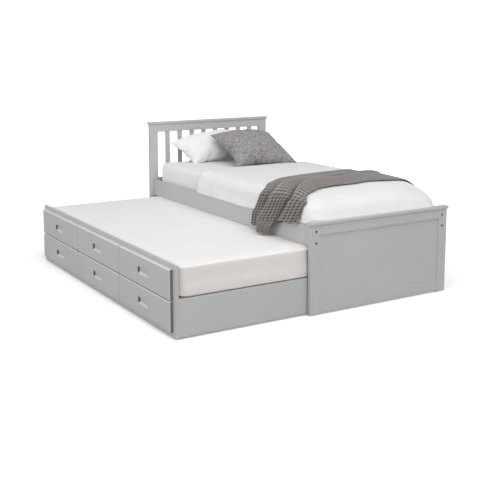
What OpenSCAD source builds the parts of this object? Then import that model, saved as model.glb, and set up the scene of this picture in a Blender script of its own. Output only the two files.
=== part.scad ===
// Single captain's bed with a pull-out guest trundle and three drawers.
// X runs across the bed, Y from foot to head, Z up from the floor.
// The trundle stands fully pulled out towards -X, and pushes in along +X.

/* [Bed frame] */
// Clear length between footboard and headboard
inner_length = 1925; // [1915:1:1990]
// Width over the outer faces of the posts
bed_width = 980; // [960:1:1020]
// Width of a post, seen from the foot
post_width = 63; // [55:1:75]
// Thickness of a post, along the bed
post_thick = 25; // [22:1:32]
// Height of the foot posts under their cap
foot_post_top = 492; // [490:1:520]
// Height of the head posts under their cap
head_post_top = 873; // [800:1:1000]
// Overhang of both caps past the posts
cap_overhang = 6; // [5:1:12]
// Thickness of both caps
cap_thick = 21; // [18:1:26]
// Height of the top rail of the footboard and of the headboard
top_rail_height = 51; // [45:1:70]
// Height of the footboard's bottom rail
foot_bottom_rail_height = 56; // [40:1:80]
// How far the footboard panel lies behind the posts' face
panel_recess = 7; // [2:0.5:9]
// Thickness of the footboard panel
panel_thick = 12; // [9:1:15]
// Number of slats in the headboard
head_slat_count = 8; // [6:1:10]
// Width of a headboard slat
head_slat_width = 34; // [28:1:45]
// Thickness of a headboard slat
head_slat_thick = 12; // [9:1:16]

/* [Side rails] */
// Distance from a post's outer face to the rail's outer face
rail_inset = 28; // [26:1:30]
// Thickness of a side rail
rail_thick = 18; // [16:1:20]
// Height of a side rail
rail_height = 112; // [100:1:112]
// Lower edge of a side rail above the floor
rail_bottom = 372; // [372:1:380]
// Size of the ledger that carries the slats, across
ledger_width = 22; // [18:1:30]
// Size of the ledger that carries the slats, upright
ledger_height = 30; // [20:1:30]
// Height of a slat's top, which is the mattress platform
platform_height = 440; // [440:1:445]
// Thickness of a slat
slat_thick = 15; // [12:1:18]
// Width of a slat
slat_width = 70; // [60:1:90]
// Number of slats in each bed
slat_count = 13; // [10:1:15]

/* [Trundle] */
// How far the trundle stands out from its closed place
trundle_travel = 798; // [780:1:800]
// Thickness of the trundle's boards
board_thick = 18; // [16:1:19]
// Gap between the trundle's ends and the bed's posts
end_clearance = 7; // [5:1:10]
// Lower edge of the trundle's front above the floor
front_bottom = 4; // [3:1:8]
// Upper edge of the trundle's front above the floor
front_top = 377; // [370:1:380]
// Height of the end panels and of the trundle's platform
trundle_platform = 206; // [200:1:206]
// Width of the trundle between front and back boards
trundle_inner_width = 886; // [880:1:888]
// Radius of a castor wheel
wheel_radius = 25; // [22:1:25]
// Width of a castor wheel
wheel_width = 20; // [16:1:22]
// Radius of a castor's shoulder screw
axle_radius = 4; // [3:0.5:5]

/* [Drawers and fronts] */
// Length of one drawer front, along the bed
front_length = 616; // [600:1:618]
// Height of one drawer front
front_height = 157; // [152:1:157]
// Thickness of a drawer front
front_thick = 19; // [16:1:20]
// Gap between neighbouring fronts in a row
front_gap = 5; // [3:1:6]
// Gap between the upper and the lower row of fronts
row_gap = 7; // [6:1:12]
// Lower edge of the lower row above the floor
lower_row_bottom = 34; // [30:1:34]
// Chamfer round the face of a drawer front
front_chamfer = 4; // [2:0.5:6]
// Length of a finger slot
slot_length = 120; // [100:1:140]
// Height of a finger slot
slot_height = 38; // [34:1:42]
// Depth of a finger slot
slot_depth = 12; // [10:1:14]
// Depth of a drawer box behind the front board
drawer_depth = 400; // [380:1:450]
// Height of a drawer box
drawer_height = 104; // [95:1:104]
// Thickness of a drawer box side
drawer_side_thick = 12; // [12:1:15]

/* [Bedding] */
// Width of the main mattress
mattress_width = 880; // [860:1:882]
// Length of the main mattress
mattress_length = 1888; // [1860:1:1890]
// Thickness of the main mattress
mattress_thick = 164; // [150:1:166]
// Width of the trundle mattress
guest_width = 880; // [860:1:882]
// Length of the trundle mattress
guest_length = 1900; // [1880:1:1902]
// Thickness of the trundle mattress
guest_thick = 159; // [140:1:160]
// Length of the made-up part of the bed that the duvet covers
duvet_length = 1380; // [1300:1:1400]
// Height of the duvet's top above the floor
duvet_top = 624; // [618:1:626]
// How far the throw's head edge lies from the footboard, at the middle of the bed
throw_reach = 749; // [700:1:800]

/* [Hidden] */

// Colours
paint = [0.70, 0.71, 0.71];
bare_wood = [0.80, 0.70, 0.55];
hardboard = [0.62, 0.50, 0.36];
steel = [0.35, 0.35, 0.36];
zinc = [0.72, 0.72, 0.74];
nylon = [0.85, 0.85, 0.84];
wheel_grey = [0.22, 0.22, 0.23];
white_cotton = [0.95, 0.95, 0.95];
ticking = [0.93, 0.92, 0.90];
marl = [0.50, 0.48, 0.49];
taupe = [0.55, 0.53, 0.50];

// Small sizes that go with the boards
ease = 1.5;
glide_height = 3;
glide_radius = 14;

// Bed frame, in bed coordinates: x = 0 at the left posts' outer face, y = 0 at the
// footboard's face
foot_inside = post_thick;
head_face = foot_inside + inner_length;
head_back = head_face + post_thick;
head_rail_height = 110;
head_rail_bottom = 384;
between_posts = bed_width - 2 * post_width;
head_slat_gap = (between_posts - head_slat_count * head_slat_width) / (head_slat_count + 1);
rail_top = rail_bottom + rail_height;
foot_rail_bottom = 10;
ledger_top = platform_height - slat_thick;
slats_between_rails = bed_width - 2 * (rail_inset + rail_thick) - 2;

// Bolts that draw the posts on to the rail ends
bolt_x = rail_inset + rail_thick / 2;
bolt_heights = [rail_bottom + 26, rail_bottom + 89];
bolt_radius = 3;
bolt_hole_radius = 3.5;
bolt_head_radius = 6;
bolt_head_height = 5;
counterbore_radius = 7;
counterbore_depth = 8;
bolt_reach = 70;
nut_radius = 5;
nut_length = 14;
nut_hole_radius = 5.2;
nut_depth = 15.5;
nut_distance = 60;

// Trundle, in bed coordinates, fully pulled out
front_inside = rail_inset - 2 - trundle_travel;
front_face = front_inside - board_thick;
fronts_face = front_face - front_thick;
trundle_foot = foot_inside + end_clearance;
trundle_head = head_face - end_clearance;
trundle_length = trundle_head - trundle_foot;
trundle_back_inside = front_inside + trundle_inner_width;
trundle_mid = (trundle_foot + trundle_head) / 2;
panel_bottom = 10;

// Drawer fronts and drawers
fronts_length = 3 * front_length + 2 * front_gap;
fronts_offset = 2.5;
fronts_start = trundle_mid - fronts_length / 2 + fronts_offset;
upper_row_bottom = lower_row_bottom + front_height + row_gap;
opening_inset = 14;
box_inset = 18;
opening_bottom = 48;
opening_top = 168;
box_bottom = 54;
box_bottom_thick = 4;
box_top = box_bottom + drawer_height;
box_width = front_length - 2 * box_inset;
inner_front_thick = 15;
face_gap = 1;
box_front = front_face - face_gap;
box_sides_start = box_front + inner_front_thick;
box_end = front_face + drawer_depth;
runner_bottom = 98;
runner_height = 14;
groove_depth = 6;
groove_play = 1;
divider_thick = 18;
ledger_section = 20;
trundle_ledger_height = 23;

// Castors: wheels on shoulder screws at the inside of the end panels
wheel_gap = 3;
screw_depth = 14;
screw_head_radius = 7;
screw_head_thick = 3;
running_gap = 0.06;
wheel_near_front = front_inside + 37;
wheel_near_back = trundle_back_inside - 37;

// Bedding
mattress_left = (bed_width - mattress_width) / 2;
mattress_foot = 40;
mattress_top = platform_height + mattress_thick;
soft_gap = 0.5;
duvet_outer = 27;
duvet_foot = 14;
duvet_shoulder = 45;
foot_cap_top = foot_post_top + cap_thick;
throw_thick = 12;
throw_hem = 386;
pillow_centre = [487, 1838, 725];
pillow_lean = 50;
cushion_centre = [585, 1510, 713];
cushion_lean = 20;

// The whole model's box, from which the frame's origin follows
box_x_low = fronts_face;
box_x_high = bed_width + cap_overhang;
box_y_low = -cap_overhang;
box_y_high = head_back + cap_overhang;
origin_x = (box_x_low + box_x_high) / 2;
origin_y = (box_y_low + box_y_high) / 2;

// Moves bed coordinates to the part's own frame
module placed() {
    translate([-origin_x, -origin_y, 0]) children();
}

// Rectangle with its four corners cut off at 45 degrees
module eased_rectangle(a, b, e) {
    polygon([
        [e, 0], [a - e, 0], [a, e], [a, b - e],
        [a - e, b], [e, b], [0, b - e], [0, e]
    ]);
}

// Board from its low corner, with all its edges eased
module board(low, size, e = ease) {
    translate(low) intersection() {
        linear_extrude(size[2]) eased_rectangle(size[0], size[1], e);
        rotate([90, 0, 90]) linear_extrude(size[0]) eased_rectangle(size[1], size[2], e);
        translate([0, size[1], 0]) rotate([90, 0, 0]) linear_extrude(size[1])
            eased_rectangle(size[0], size[2], e);
    }
}

// Rectangle with round corners
module round_rectangle(a, b, r) {
    translate([r, 0]) square([a - 2 * r, b]);
    translate([0, r]) square([a, b - 2 * r]);
    for (x = [r, a - r], y = [r, b - r]) translate([x, y]) circle(r, $fn = 48);
}

// Cylinder along Y from y = 0
module rod_y(r, length) {
    rotate([-90, 0, 0]) cylinder(r = r, h = length, $fn = 48);
}

// Cylinder along X from x = 0
module rod_x(r, length) {
    rotate([0, 90, 0]) cylinder(r = r, h = length, $fn = 48);
}

// Outline of a cap's edge: a slab with eased edges over a hollow-moulded neck
module cap_outline(depth) {
    cove = 4;
    neck = cap_overhang - 0.5;
    difference() {
        union() {
            translate([0, cove]) eased_rectangle(depth, cap_thick - cove, 2.5);
            translate([neck - cove, 0]) square([depth - 2 * (neck - cove), cove + 1]);
        }
        for (x = [neck - cove, depth - neck + cove]) translate([x, 0]) circle(cove, $fn = 48);
    }
}

// Cap along the top of a board, moulded round all four sides
module cap(y_low, z_low) {
    width = bed_width + 2 * cap_overhang;
    depth = post_thick + 2 * cap_overhang;
    translate([-cap_overhang, y_low - cap_overhang, z_low]) intersection() {
        rotate([90, 0, 90]) linear_extrude(width) cap_outline(depth);
        translate([0, depth, 0]) rotate([90, 0, 0]) linear_extrude(depth)
            cap_outline(width);
    }
}

// Holes for the two bolts of one corner, from the face at y = 0 going into +Y
module post_bolt_holes() {
    for (z = bolt_heights) translate([bolt_x, 0, z]) {
        translate([0, -1, 0]) rod_y(counterbore_radius, counterbore_depth + 1);
        rod_y(bolt_hole_radius, post_thick + 1);
    }
}

// Upright post with its bolt holes; mirrored in Y for the headboard
module post(top) {
    difference() {
        board([0, 0, glide_height], [post_width, post_thick, top - glide_height]);
        post_bolt_holes();
    }
}

module left_to_right() {
    translate([bed_width, 0, 0]) mirror([1, 0, 0]) children();
}

module foot_to_head() {
    translate([0, head_back, 0]) mirror([0, 1, 0]) children();
}

module foot_post_left() {
    color(paint) placed() post(foot_post_top);
}

module foot_post_right() {
    color(paint) placed() left_to_right() post(foot_post_top);
}

module head_post_left() {
    color(paint) placed() foot_to_head() post(head_post_top);
}

module head_post_right() {
    color(paint) placed() foot_to_head() left_to_right() post(head_post_top);
}

module foot_cap() {
    color(paint) placed() cap(0, foot_post_top);
}

module head_cap() {
    color(paint) placed() cap(head_face, head_post_top);
}

module foot_top_rail() {
    low = foot_post_top - top_rail_height;
    color(paint) placed()
        board([post_width, 0, low], [between_posts, post_thick, top_rail_height], 1);
}

module foot_bottom_rail() {
    color(paint) placed() board([post_width, 0, foot_rail_bottom],
        [between_posts, post_thick, foot_bottom_rail_height], 1);
}

module foot_panel() {
    low = foot_rail_bottom + foot_bottom_rail_height;
    high = foot_post_top - top_rail_height;
    color(paint) placed() translate([post_width, panel_recess, low])
        cube([between_posts, panel_thick, high - low]);
}

module head_top_rail() {
    low = head_post_top - top_rail_height;
    color(paint) placed()
        board([post_width, head_face, low], [between_posts, post_thick, top_rail_height], 1);
}

module head_bottom_rail() {
    color(paint) placed() board([post_width, head_face, head_rail_bottom],
        [between_posts, post_thick, head_rail_height], 1);
}

module head_slats() {
    low = head_rail_bottom + head_rail_height;
    high = head_post_top - top_rail_height;
    pitch = head_slat_width + head_slat_gap;
    color(paint) placed() for (i = [0 : head_slat_count - 1])
        board([post_width + head_slat_gap + i * pitch,
            head_face + (post_thick - head_slat_thick) / 2, low],
            [head_slat_width, head_slat_thick, high - low]);
}

// Side rail with bolt holes in both ends and nut holes in its inner face
module side_rail() {
    difference() {
        board([rail_inset, foot_inside, rail_bottom], [rail_thick, inner_length, rail_height]);
        for (z = bolt_heights) {
            translate([bolt_x, foot_inside - 1, z])
                rod_y(bolt_hole_radius, bolt_reach - foot_inside + 4);
            translate([bolt_x, head_back - bolt_reach - 3, z])
                rod_y(bolt_hole_radius, bolt_reach - foot_inside + 4);
            for (y = [nut_distance, head_back - nut_distance])
                translate([rail_inset + rail_thick - nut_depth, y, z])
                    rod_x(nut_hole_radius, nut_depth + 1);
        }
    }
}

module side_rail_left() {
    color(paint) placed() side_rail();
}

module side_rail_right() {
    color(paint) placed() left_to_right() side_rail();
}

// Ledger on the inside of a side rail, under the slats
module ledger() {
    end_gap = 110;
    board([rail_inset + rail_thick, foot_inside + end_gap, ledger_top - ledger_height],
        [ledger_width, inner_length - 2 * end_gap, ledger_height]);
}

module ledger_left() {
    color(bare_wood) placed() ledger();
}

module ledger_right() {
    color(bare_wood) placed() left_to_right() ledger();
}

module bed_slats() {
    first = foot_inside + 120;
    last = head_face - 120 - slat_width;
    pitch = (last - first) / (slat_count - 1);
    color(bare_wood) placed() for (i = [0 : slat_count - 1])
        board([(bed_width - slats_between_rails) / 2, first + i * pitch, ledger_top],
            [slats_between_rails, slat_width, slat_thick]);
}

// Bolt with a socket in its head, lying along +Y from the post's face
module frame_bolt() {
    head_start = counterbore_depth - bolt_head_height;
    difference() {
        union() {
            translate([0, head_start, 0]) rod_y(bolt_head_radius, bolt_head_height);
            translate([0, counterbore_depth, 0])
                rod_y(bolt_radius, bolt_reach - counterbore_depth);
        }
        translate([0, head_start - 1, 0]) rotate([-90, 0, 0])
            cylinder(r = 2.3, h = 4, $fn = 6);
    }
}

// The same thing at all four corners of the frame
module at_corners() {
    children();
    left_to_right() children();
    foot_to_head() children();
    foot_to_head() left_to_right() children();
}

module frame_bolts() {
    color(steel) placed() at_corners()
        for (z = bolt_heights) translate([bolt_x, 0, z]) frame_bolt();
}

// Cross dowels in the side rails, each with a bore that takes a bolt
module barrel_nuts() {
    start = rail_inset + rail_thick - nut_depth + 0.5;
    color(zinc) placed() at_corners() for (z = bolt_heights)
        difference() {
            translate([start, nut_distance, z]) rod_x(nut_radius, nut_length);
            translate([bolt_x, nut_distance - 10, z]) rod_y(bolt_radius + 0.15, 20);
        }
}

module floor_glides() {
    edge = 1;
    color(nylon) placed() at_corners()
        translate([post_width / 2, post_thick / 2, 0]) intersection() {
            rotate_extrude($fn = 48) polygon([
                [0, 0], [glide_radius - edge, 0], [glide_radius, edge],
                [glide_radius, glide_height], [0, glide_height]
            ]);
            translate([-glide_radius, 1 - post_thick / 2, 0])
                cube([2 * glide_radius, post_thick - 2, glide_height]);
        }
}

module mattress() {
    color(ticking) placed() translate([mattress_left, mattress_foot, platform_height])
        linear_extrude(mattress_thick)
            round_rectangle(mattress_width, mattress_length, 60);
}

// Arch across the bed, with round shoulders, down to its hem
module arch_outline(outer, top, hem, r) {
    translate([outer, hem]) square([bed_width - 2 * outer, top - r - hem]);
    translate([outer + r, hem]) square([bed_width - 2 * outer - 2 * r, top - hem]);
    for (x = [outer + r, bed_width - outer - r]) translate([x, top - r]) circle(r, $fn = 48);
}

// Duvet: an arch over the mattress that also closes over its foot end
module duvet() {
    hollow_foot = mattress_foot - soft_gap;
    color(white_cotton) placed() difference() {
        translate([0, duvet_foot + duvet_length, 0]) rotate([90, 0, 0])
            linear_extrude(duvet_length)
                arch_outline(duvet_outer, duvet_top, rail_top + 2, duvet_shoulder);
        translate([mattress_left - soft_gap, hollow_foot, rail_bottom])
            cube([mattress_width + 2 * soft_gap, duvet_length,
                mattress_top + soft_gap - rail_bottom]);
        translate([0, 0, rail_bottom])
            cube([bed_width, hollow_foot + soft_gap, foot_cap_top + 3 - rail_bottom]);
    }
}

// Plump rectangle that lies in its own XY plane, with pinched corners
module plump(width, height, thick) {
    corner = 12;
    swell = thick / 2;
    hull() {
        for (x = [-1, 1], y = [-1, 1]) {
            translate([x * (width / 2 - corner), y * (height / 2 - corner), 0])
                sphere(corner, $fn = 24);
            translate([x * (width / 2 - height * 0.28), y * height * 0.2, 0])
                sphere(swell, $fn = 32);
        }
    }
}

module pillow() {
    color(white_cotton) placed() translate(pillow_centre)
        rotate([pillow_lean, 0, 0]) plump(720, 300, 120);
}

module cushion() {
    color(marl) placed() translate(cushion_centre)
        rotate([cushion_lean, -1.5, 0]) plump(470, 440, 84);
}

// Throw seen from above: it lies askew, with a bowed edge towards the foot
module throw_plan() {
    polygon([
        [0, 565], [30, 540], [103, 585], [220, 666], [338, throw_reach - 26],
        [508, throw_reach], [842, throw_reach + 48], [bed_width, throw_reach + 24],
        [bed_width, 150], [950, 245], [836, 270], [688, 316], [474, 301], [258, 269],
        [147, 205], [54, 114], [20, 75], [0, 75]
    ]);
}

// Throw seen from the side: its hem rises from the head edge to the foot edge
module throw_side() {
    polygon([
        [75, 500], [300, 478], [440, 412], [610, throw_hem], [throw_reach + 60, throw_hem],
        [throw_reach + 60, 700], [0, 700], [0, 500]
    ]);
}

// Throw: a thin arch over the duvet that hangs down outside both side rails
module throw_blanket() {
    inside = duvet_outer - soft_gap;
    outside = inside - throw_thick;
    reach = throw_reach + 60;
    color(taupe) placed() intersection() {
        translate([0, reach, 0]) rotate([90, 0, 0]) linear_extrude(reach) difference() {
            arch_outline(outside, duvet_top + soft_gap + throw_thick, throw_hem,
                duvet_shoulder + throw_thick);
            arch_outline(inside, duvet_top + soft_gap, throw_hem - 1, duvet_shoulder);
        }
        linear_extrude(700) throw_plan();
        rotate([90, 0, 90]) linear_extrude(bed_width) throw_side();
    }
}

// Upper board of the trundle's front, above the drawer openings
module trundle_front_board() {
    color(paint) placed() board([front_face, trundle_foot, opening_top],
        [board_thick, trundle_length, front_top - opening_top], 1);
}

// Sill of the trundle's front, under the drawer openings
module trundle_front_sill() {
    color(paint) placed() board([front_face, trundle_foot, front_bottom],
        [board_thick, trundle_length, opening_bottom - front_bottom], 1);
}

// Start of drawer front number i along the bed
function front_start(i) = fronts_start + i * (front_length + front_gap);

// The edges of the four stiles, between and beside the drawer openings
function stile_low(i) =
    i == 0 ? trundle_foot : front_start(i - 1) + front_length - opening_inset;
function stile_high(i) =
    i == 3 ? trundle_head : front_start(i) + opening_inset;

// The middle of divider number i, in front of which a stile stands
function divider_mid(i) = (stile_low(i + 1) + stile_high(i + 1)) / 2;

// The walls of a drawer's bay on its foot side and on its head side
function bay_low(i) =
    i == 0 ? trundle_foot + board_thick : divider_mid(i - 1) + divider_thick / 2;
function bay_high(i) =
    i == 2 ? trundle_head - board_thick : divider_mid(i) - divider_thick / 2;

module trundle_front_stiles() {
    color(paint) placed() for (i = [0 : 3])
        translate([front_face, stile_low(i), opening_bottom])
            cube([board_thick, stile_high(i) - stile_low(i), opening_top - opening_bottom]);
}

module trundle_back() {
    color(paint) placed()
        board([trundle_back_inside, trundle_foot + board_thick, panel_bottom],
            [board_thick, trundle_length - 2 * board_thick, trundle_platform - panel_bottom]);
}

// End panel with blind holes for the castors' screws, at the foot end
module trundle_end() {
    difference() {
        board([front_inside, trundle_foot, panel_bottom],
            [trundle_inner_width + board_thick, board_thick, trundle_platform - panel_bottom]);
        for (x = [wheel_near_front, wheel_near_back])
            translate([x, trundle_foot + board_thick - screw_depth - 0.5, wheel_radius])
                rod_y(axle_radius + 0.1, screw_depth + 1);
    }
}

// Mirrors the trundle's foot end to its head end
module trundle_mirrored() {
    translate([0, 2 * trundle_mid, 0]) mirror([0, 1, 0]) children();
}

module trundle_end_foot() {
    color(paint) placed() trundle_end();
}

module trundle_end_head() {
    color(paint) placed() trundle_mirrored() trundle_end();
}

module trundle_dividers() {
    top = trundle_platform - slat_thick - trundle_ledger_height;
    color(paint) placed() for (i = [0, 1])
        translate([front_inside, divider_mid(i) - divider_thick / 2, panel_bottom])
            cube([trundle_inner_width, divider_thick, top - panel_bottom]);
}

module trundle_ledgers() {
    low = trundle_platform - slat_thick - trundle_ledger_height;
    length = trundle_length - 2 * board_thick;
    color(bare_wood) placed()
        for (x = [front_inside, trundle_back_inside - ledger_section])
            translate([x, trundle_foot + board_thick, low])
                cube([ledger_section, length, trundle_ledger_height]);
}

module trundle_slats() {
    first = trundle_foot + board_thick + 15;
    last = trundle_head - board_thick - 15 - slat_width;
    pitch = (last - first) / (slat_count - 1);
    color(bare_wood) placed() for (i = [0 : slat_count - 1])
        board([front_inside + 1, first + i * pitch, trundle_platform - slat_thick],
            [trundle_inner_width - 2, slat_width, slat_thick]);
}

// Runner strips that the drawers' grooves ride on, two for each drawer
module drawer_runners() {
    start = front_inside + 2;
    length = drawer_depth - 2 * board_thick;
    reach = groove_depth - groove_play;
    color(bare_wood) placed() for (i = [0 : 2]) {
        side_low = front_start(i) + box_inset;
        side_high = side_low + box_width;
        translate([start, bay_low(i), runner_bottom])
            cube([length, side_low + reach - bay_low(i), runner_height]);
        translate([start, side_high - reach, runner_bottom])
            cube([length, bay_high(i) - side_high + reach, runner_height]);
    }
}

// Finger slot: a blind pocket whose lower face slopes up towards its back
module finger_slot() {
    slope = 9;
    translate([0, slot_length, 0]) rotate([90, 0, 0]) linear_extrude(slot_length) polygon([
        [-1, 0], [0, 0], [slot_depth, slope], [slot_depth, slot_height], [-1, slot_height]
    ]);
}

// Front with a chamfered face and a finger slot, from its low corner
module slotted_front(y, z, thick) {
    c = front_chamfer;
    difference() {
        hull() {
            translate([fronts_face + c, y, z]) cube([thick - c, front_length, front_height]);
            translate([fronts_face, y + c, z + c])
                cube([thick, front_length - 2 * c, front_height - 2 * c]);
        }
        translate([fronts_face, y + (front_length - slot_length) / 2,
            z + (front_height - slot_height) / 2]) finger_slot();
    }
}

module false_front(i) {
    color(paint) placed() slotted_front(front_start(i), upper_row_bottom, front_thick);
}

module false_front_1() { false_front(0); }
module false_front_2() { false_front(1); }
module false_front_3() { false_front(2); }

module guest_mattress() {
    color(ticking) placed() translate([front_inside + 4, trundle_mid - guest_length / 2,
        trundle_platform])
        linear_extrude(guest_thick) round_rectangle(guest_width, guest_length, 40);
}

// Puts a castor's parts at its place: 1 and 2 at the foot end, 3 and 4 at the head end
module at_castor(i) {
    x = i % 2 == 1 ? wheel_near_front : wheel_near_back;
    face = trundle_foot + board_thick;
    if (i <= 2) translate([x, face, wheel_radius]) children();
    else trundle_mirrored() translate([x, face, wheel_radius]) children();
}

module castor_screws() {
    color(zinc) placed() for (i = [1 : 4]) at_castor(i) {
        translate([0, -screw_depth, 0])
            rod_y(axle_radius, screw_depth + wheel_gap + wheel_width + 1);
        rod_y(screw_head_radius, wheel_gap - 0.4);
        translate([0, wheel_gap + wheel_width + 0.4, 0])
            rod_y(screw_head_radius, screw_head_thick);
    }
}

// Wheel with a rounded tread, hollow cheeks and a running bore
module castor_wheel(i) {
    edge = 2;
    hub = 9;
    cheek = 3;
    bore = axle_radius + running_gap;
    rim = wheel_radius - 5;
    color(wheel_grey) placed() at_castor(i) translate([0, wheel_gap, 0])
        rotate([-90, 0, 0]) rotate_extrude($fn = 96) polygon([
            [bore, 0], [hub, 0], [hub, cheek], [rim, cheek], [rim, 0],
            [wheel_radius - edge, 0], [wheel_radius, edge],
            [wheel_radius, wheel_width - edge], [wheel_radius - edge, wheel_width],
            [rim, wheel_width], [rim, wheel_width - cheek], [hub, wheel_width - cheek],
            [hub, wheel_width], [bore, wheel_width]
        ]);
}

module castor_wheel_1() { castor_wheel(1); }
module castor_wheel_2() { castor_wheel(2); }
module castor_wheel_3() { castor_wheel(3); }
module castor_wheel_4() { castor_wheel(4); }

module drawer_front(i) {
    color(paint) placed()
        slotted_front(front_start(i), lower_row_bottom, front_thick - face_gap);
}

module drawer_inner_front(i) {
    color(paint) placed()
        translate([box_front, front_start(i) + box_inset, box_bottom + box_bottom_thick])
            cube([inner_front_thick, box_width, drawer_height - box_bottom_thick]);
}

// Both sides of a drawer box, each with a groove for its runner
module drawer_sides(i) {
    length = box_end - box_sides_start;
    low = box_bottom + box_bottom_thick;
    near = front_start(i) + box_inset;
    far = near + box_width - drawer_side_thick;
    color(bare_wood) placed() for (y = [near, far]) difference() {
        translate([box_sides_start, y, low])
            cube([length, drawer_side_thick, drawer_height - box_bottom_thick]);
        groove = y == near ? y - 1 : y + drawer_side_thick - groove_depth;
        translate([box_sides_start - 1, groove, runner_bottom - groove_play])
            cube([length + 2, groove_depth + 1, runner_height + 2 * groove_play]);
    }
}

module drawer_back(i) {
    low = box_bottom + box_bottom_thick;
    near = front_start(i) + box_inset + drawer_side_thick;
    color(bare_wood) placed() translate([box_end - drawer_side_thick, near, low])
        cube([drawer_side_thick, box_width - 2 * drawer_side_thick,
            drawer_height - box_bottom_thick]);
}

module drawer_bottom(i) {
    color(hardboard) placed()
        translate([box_sides_start, front_start(i) + box_inset, box_bottom])
            cube([box_end - box_sides_start, box_width, box_bottom_thick]);
}

module drawer_front_1() { drawer_front(0); }
module drawer_front_2() { drawer_front(1); }
module drawer_front_3() { drawer_front(2); }
module drawer_inner_front_1() { drawer_inner_front(0); }
module drawer_inner_front_2() { drawer_inner_front(1); }
module drawer_inner_front_3() { drawer_inner_front(2); }
module drawer_sides_1() { drawer_sides(0); }
module drawer_sides_2() { drawer_sides(1); }
module drawer_sides_3() { drawer_sides(2); }
module drawer_back_1() { drawer_back(0); }
module drawer_back_2() { drawer_back(1); }
module drawer_back_3() { drawer_back(2); }
module drawer_bottom_1() { drawer_bottom(0); }
module drawer_bottom_2() { drawer_bottom(1); }
module drawer_bottom_3() { drawer_bottom(2); }

foot_post_left();
foot_post_right();
foot_cap();
foot_top_rail();
foot_bottom_rail();
foot_panel();
head_post_left();
head_post_right();
head_cap();
head_top_rail();
head_bottom_rail();
head_slats();
side_rail_left();
side_rail_right();
ledger_left();
ledger_right();
bed_slats();
frame_bolts();
barrel_nuts();
floor_glides();
mattress();
duvet();
pillow();
cushion();
throw_blanket();
trundle_front_board();
trundle_front_sill();
trundle_front_stiles();
trundle_back();
trundle_end_foot();
trundle_end_head();
trundle_dividers();
trundle_ledgers();
trundle_slats();
drawer_runners();
false_front_1();
false_front_2();
false_front_3();
guest_mattress();
castor_screws();
castor_wheel_1();
castor_wheel_2();
castor_wheel_3();
castor_wheel_4();
drawer_front_1();
drawer_inner_front_1();
drawer_sides_1();
drawer_back_1();
drawer_bottom_1();
drawer_front_2();
drawer_inner_front_2();
drawer_sides_2();
drawer_back_2();
drawer_bottom_2();
drawer_front_3();
drawer_inner_front_3();
drawer_sides_3();
drawer_back_3();
drawer_bottom_3();
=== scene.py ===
import math

import bpy
import numpy as np
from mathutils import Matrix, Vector, noise
from mathutils.bvhtree import BVHTree


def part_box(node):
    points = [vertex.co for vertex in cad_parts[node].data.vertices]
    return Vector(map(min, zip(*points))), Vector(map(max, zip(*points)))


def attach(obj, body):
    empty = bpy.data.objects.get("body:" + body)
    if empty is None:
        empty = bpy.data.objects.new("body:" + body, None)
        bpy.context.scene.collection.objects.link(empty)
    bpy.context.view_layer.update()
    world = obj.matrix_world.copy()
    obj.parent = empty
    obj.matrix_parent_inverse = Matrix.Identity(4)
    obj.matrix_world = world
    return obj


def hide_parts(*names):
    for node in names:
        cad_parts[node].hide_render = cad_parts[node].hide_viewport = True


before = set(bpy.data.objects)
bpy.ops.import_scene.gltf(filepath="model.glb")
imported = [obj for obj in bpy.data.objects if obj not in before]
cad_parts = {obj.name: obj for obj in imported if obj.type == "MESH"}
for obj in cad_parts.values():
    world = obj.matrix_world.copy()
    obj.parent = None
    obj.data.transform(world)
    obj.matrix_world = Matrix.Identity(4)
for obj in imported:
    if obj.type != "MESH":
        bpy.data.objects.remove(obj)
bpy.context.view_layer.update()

MM = 0.001

# The soft pieces are drawn in bed coordinates, in millimetres: x from the left posts' outer face,
# y from the footboard's face towards the headboard, z from the floor.
POST_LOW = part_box("foot_post_left")[0]
ORIGIN = np.array([POST_LOW.x, POST_LOW.y, 0.0])


def to_row(points):
    return np.asarray(points, float) * MM + ORIGIN


def to_bed(points):
    return (np.asarray(points, float) - ORIGIN) / MM


def bed_box(node):
    low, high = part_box(node)
    return to_bed(low), to_bed(high)


MIDDLE_X = round(bed_box("foot_post_right")[1][0] / 2)
RAIL_TOP = bed_box("side_rail_left")[1][2]
FOOT_CAP_TOP = bed_box("foot_cap")[1][2]


# ---------------------------------------------------------------- camera, lights, floor

def make_camera():
    """The camera that was fitted to the straight edges of the bed's frame in the photo."""
    degrees_down, degrees_right = 8.52, 31.33
    data = bpy.data.cameras.new("photo_camera")
    data.lens = 66.641
    data.sensor_width = 36.0
    data.shift_y = -0.1396
    camera = bpy.data.objects.new("photo_camera", data)
    camera.location = (-2.8034, -4.7259, 1.4711)
    camera.rotation_euler = (math.radians(90 - degrees_down), 0.0, math.radians(-degrees_right))
    bpy.context.scene.collection.objects.link(camera)
    bpy.context.scene.camera = camera


def softbox(name, place, target, size, watts):
    data = bpy.data.lights.new(name, "AREA")
    data.shape = "RECTANGLE"
    data.size, data.size_y = size
    data.energy = watts
    lamp = bpy.data.objects.new(name, data)
    lamp.location = place
    lamp.rotation_euler = (Vector(target) - Vector(place)).to_track_quat("-Z", "Y").to_euler()
    bpy.context.scene.collection.objects.link(lamp)


def make_lights():
    """Three soft boxes, in metres and watts."""
    centre = (-0.2, 0.0, 0.3)
    softbox("key_left", (-6.4, 0.6, 3.1), centre, size=(7.0, 5.0), watts=215)
    softbox("fill_front", (-2.0, -11.5, 3.6), centre, size=(6.0, 4.0), watts=430)
    softbox("overhead", (0.0, -1.7, 3.8), (0.0, 0.7, 0.5), size=(4.0, 3.0), watts=88)


def add_node(tree, kind, **inputs):
    """Adds a shader node. Each input is a value, or the socket of another node to link from."""
    made = tree.nodes.new("ShaderNode" + kind)
    for name, value in inputs.items():
        socket = made.inputs[name.replace("_", " ")]
        if isinstance(value, bpy.types.NodeSocket):
            tree.links.new(value, socket)
        else:
            socket.default_value = value
    return made


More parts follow.
